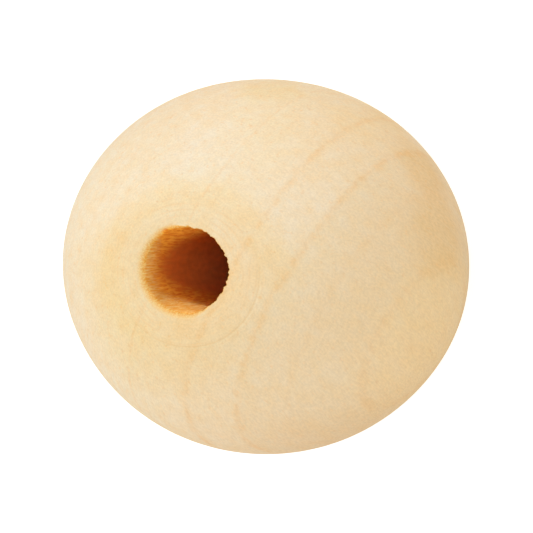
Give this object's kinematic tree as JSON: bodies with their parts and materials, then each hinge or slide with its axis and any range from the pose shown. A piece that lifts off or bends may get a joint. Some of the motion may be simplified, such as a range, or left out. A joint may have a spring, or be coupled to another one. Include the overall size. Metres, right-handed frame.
{
  "type": "wooden ball",
  "caption": "Turned wooden ball with a bore through its middle, a small flat face round each mouth and a softened lip.",
  "frame": {"origin": "middle of the ball, on the bore's axis, halfway between the two end faces", "axes": "+Z along the bore, up out of its upper mouth; +X the ball's widest way; +Y its narrow way"},
  "size_m": [0.03, 0.0278, 0.0284],
  "materials": {
    "bare_wood": "bare, sanded, unvarnished"
  },
  "bodies": {
    "root": {"ball": "bare_wood"}
  },
  "joints": []
}
